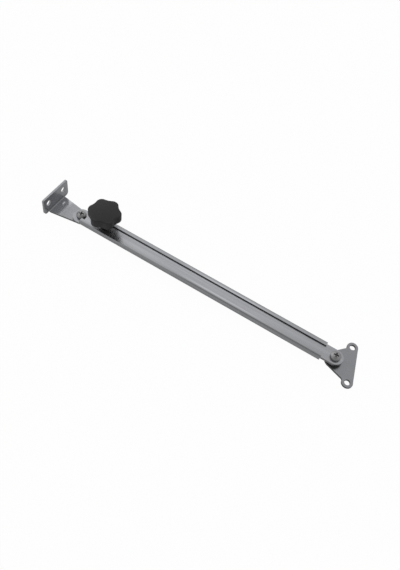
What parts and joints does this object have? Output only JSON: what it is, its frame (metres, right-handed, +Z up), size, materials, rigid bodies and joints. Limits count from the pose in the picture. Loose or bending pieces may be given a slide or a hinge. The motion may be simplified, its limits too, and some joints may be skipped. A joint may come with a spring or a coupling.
{
  "type": "window stay",
  "caption": "Telescopic window stay: a flat bar slides in a slotted rail and is clamped by a star knob, with a pivoting angle bracket at one end and a triangular plate at the other",
  "frame": {"origin": "midway between the frame bracket's two holes, on the underside that bears on the window frame", "axes": "X along the rail from the sash bracket to the frame bracket, Z up to the knob, Y across the rail"},
  "size_m": [0.3212, 0.044, 0.0312],
  "materials": {
    "rail_steel": "brushed lengthwise",
    "bar_steel": "brushed lengthwise",
    "bracket_steel": "satin, stamped",
    "hardware_steel": "plain, turned",
    "knob_plastic": "moulded, satin black"
  },
  "bodies": {
    "frame_end": {"frame_bracket": "bracket_steel", "frame_pivot_screw": "hardware_steel", "frame_spacer": "hardware_steel"},
    "bar": {"slide_bar": "bar_steel", "clamp_bush": "hardware_steel"},
    "rail": {"rail": "rail_steel"},
    "sash_end": {"sash_bracket": "bracket_steel", "sash_pivot_screw": "hardware_steel", "sash_spacer": "hardware_steel"},
    "stud": {"clamp_stud": "hardware_steel"},
    "knob": {"knob": "knob_plastic"}
  },
  "joints": [
    {"name": "frame_pivot", "type": "hinge", "parent": "frame_end", "child": "bar", "pos_m": [-0.01412, -0.00373, 0.0044], "axis": [0, 0, 1], "continuous": true},
    {"name": "rail_slide", "type": "slide", "parent": "bar", "child": "rail", "axis": [-1, 0, 0], "range_m": [0, 0.2]},
    {"name": "sash_pivot", "type": "hinge", "parent": "rail", "child": "sash_end", "pos_m": [-0.28052, -0.00373, 0.003], "axis": [0, 0, 1], "range_deg": [-120, 120]},
    {"name": "stud_lift", "type": "slide", "parent": "bar", "child": "stud", "axis": [0, 0, 1], "range_m": [0, 0.0021]},
    {"name": "knob_turn", "type": "hinge", "parent": "stud", "child": "knob", "pos_m": [-0.25352, -0.00373, 0.0255], "axis": [0, 0, 1], "range_deg": [0, 720]}
  ],
  "couplings": [
    {"joint": "stud_lift", "follows": "knob_turn", "m_per_rad": 0.00015915}
  ]
}
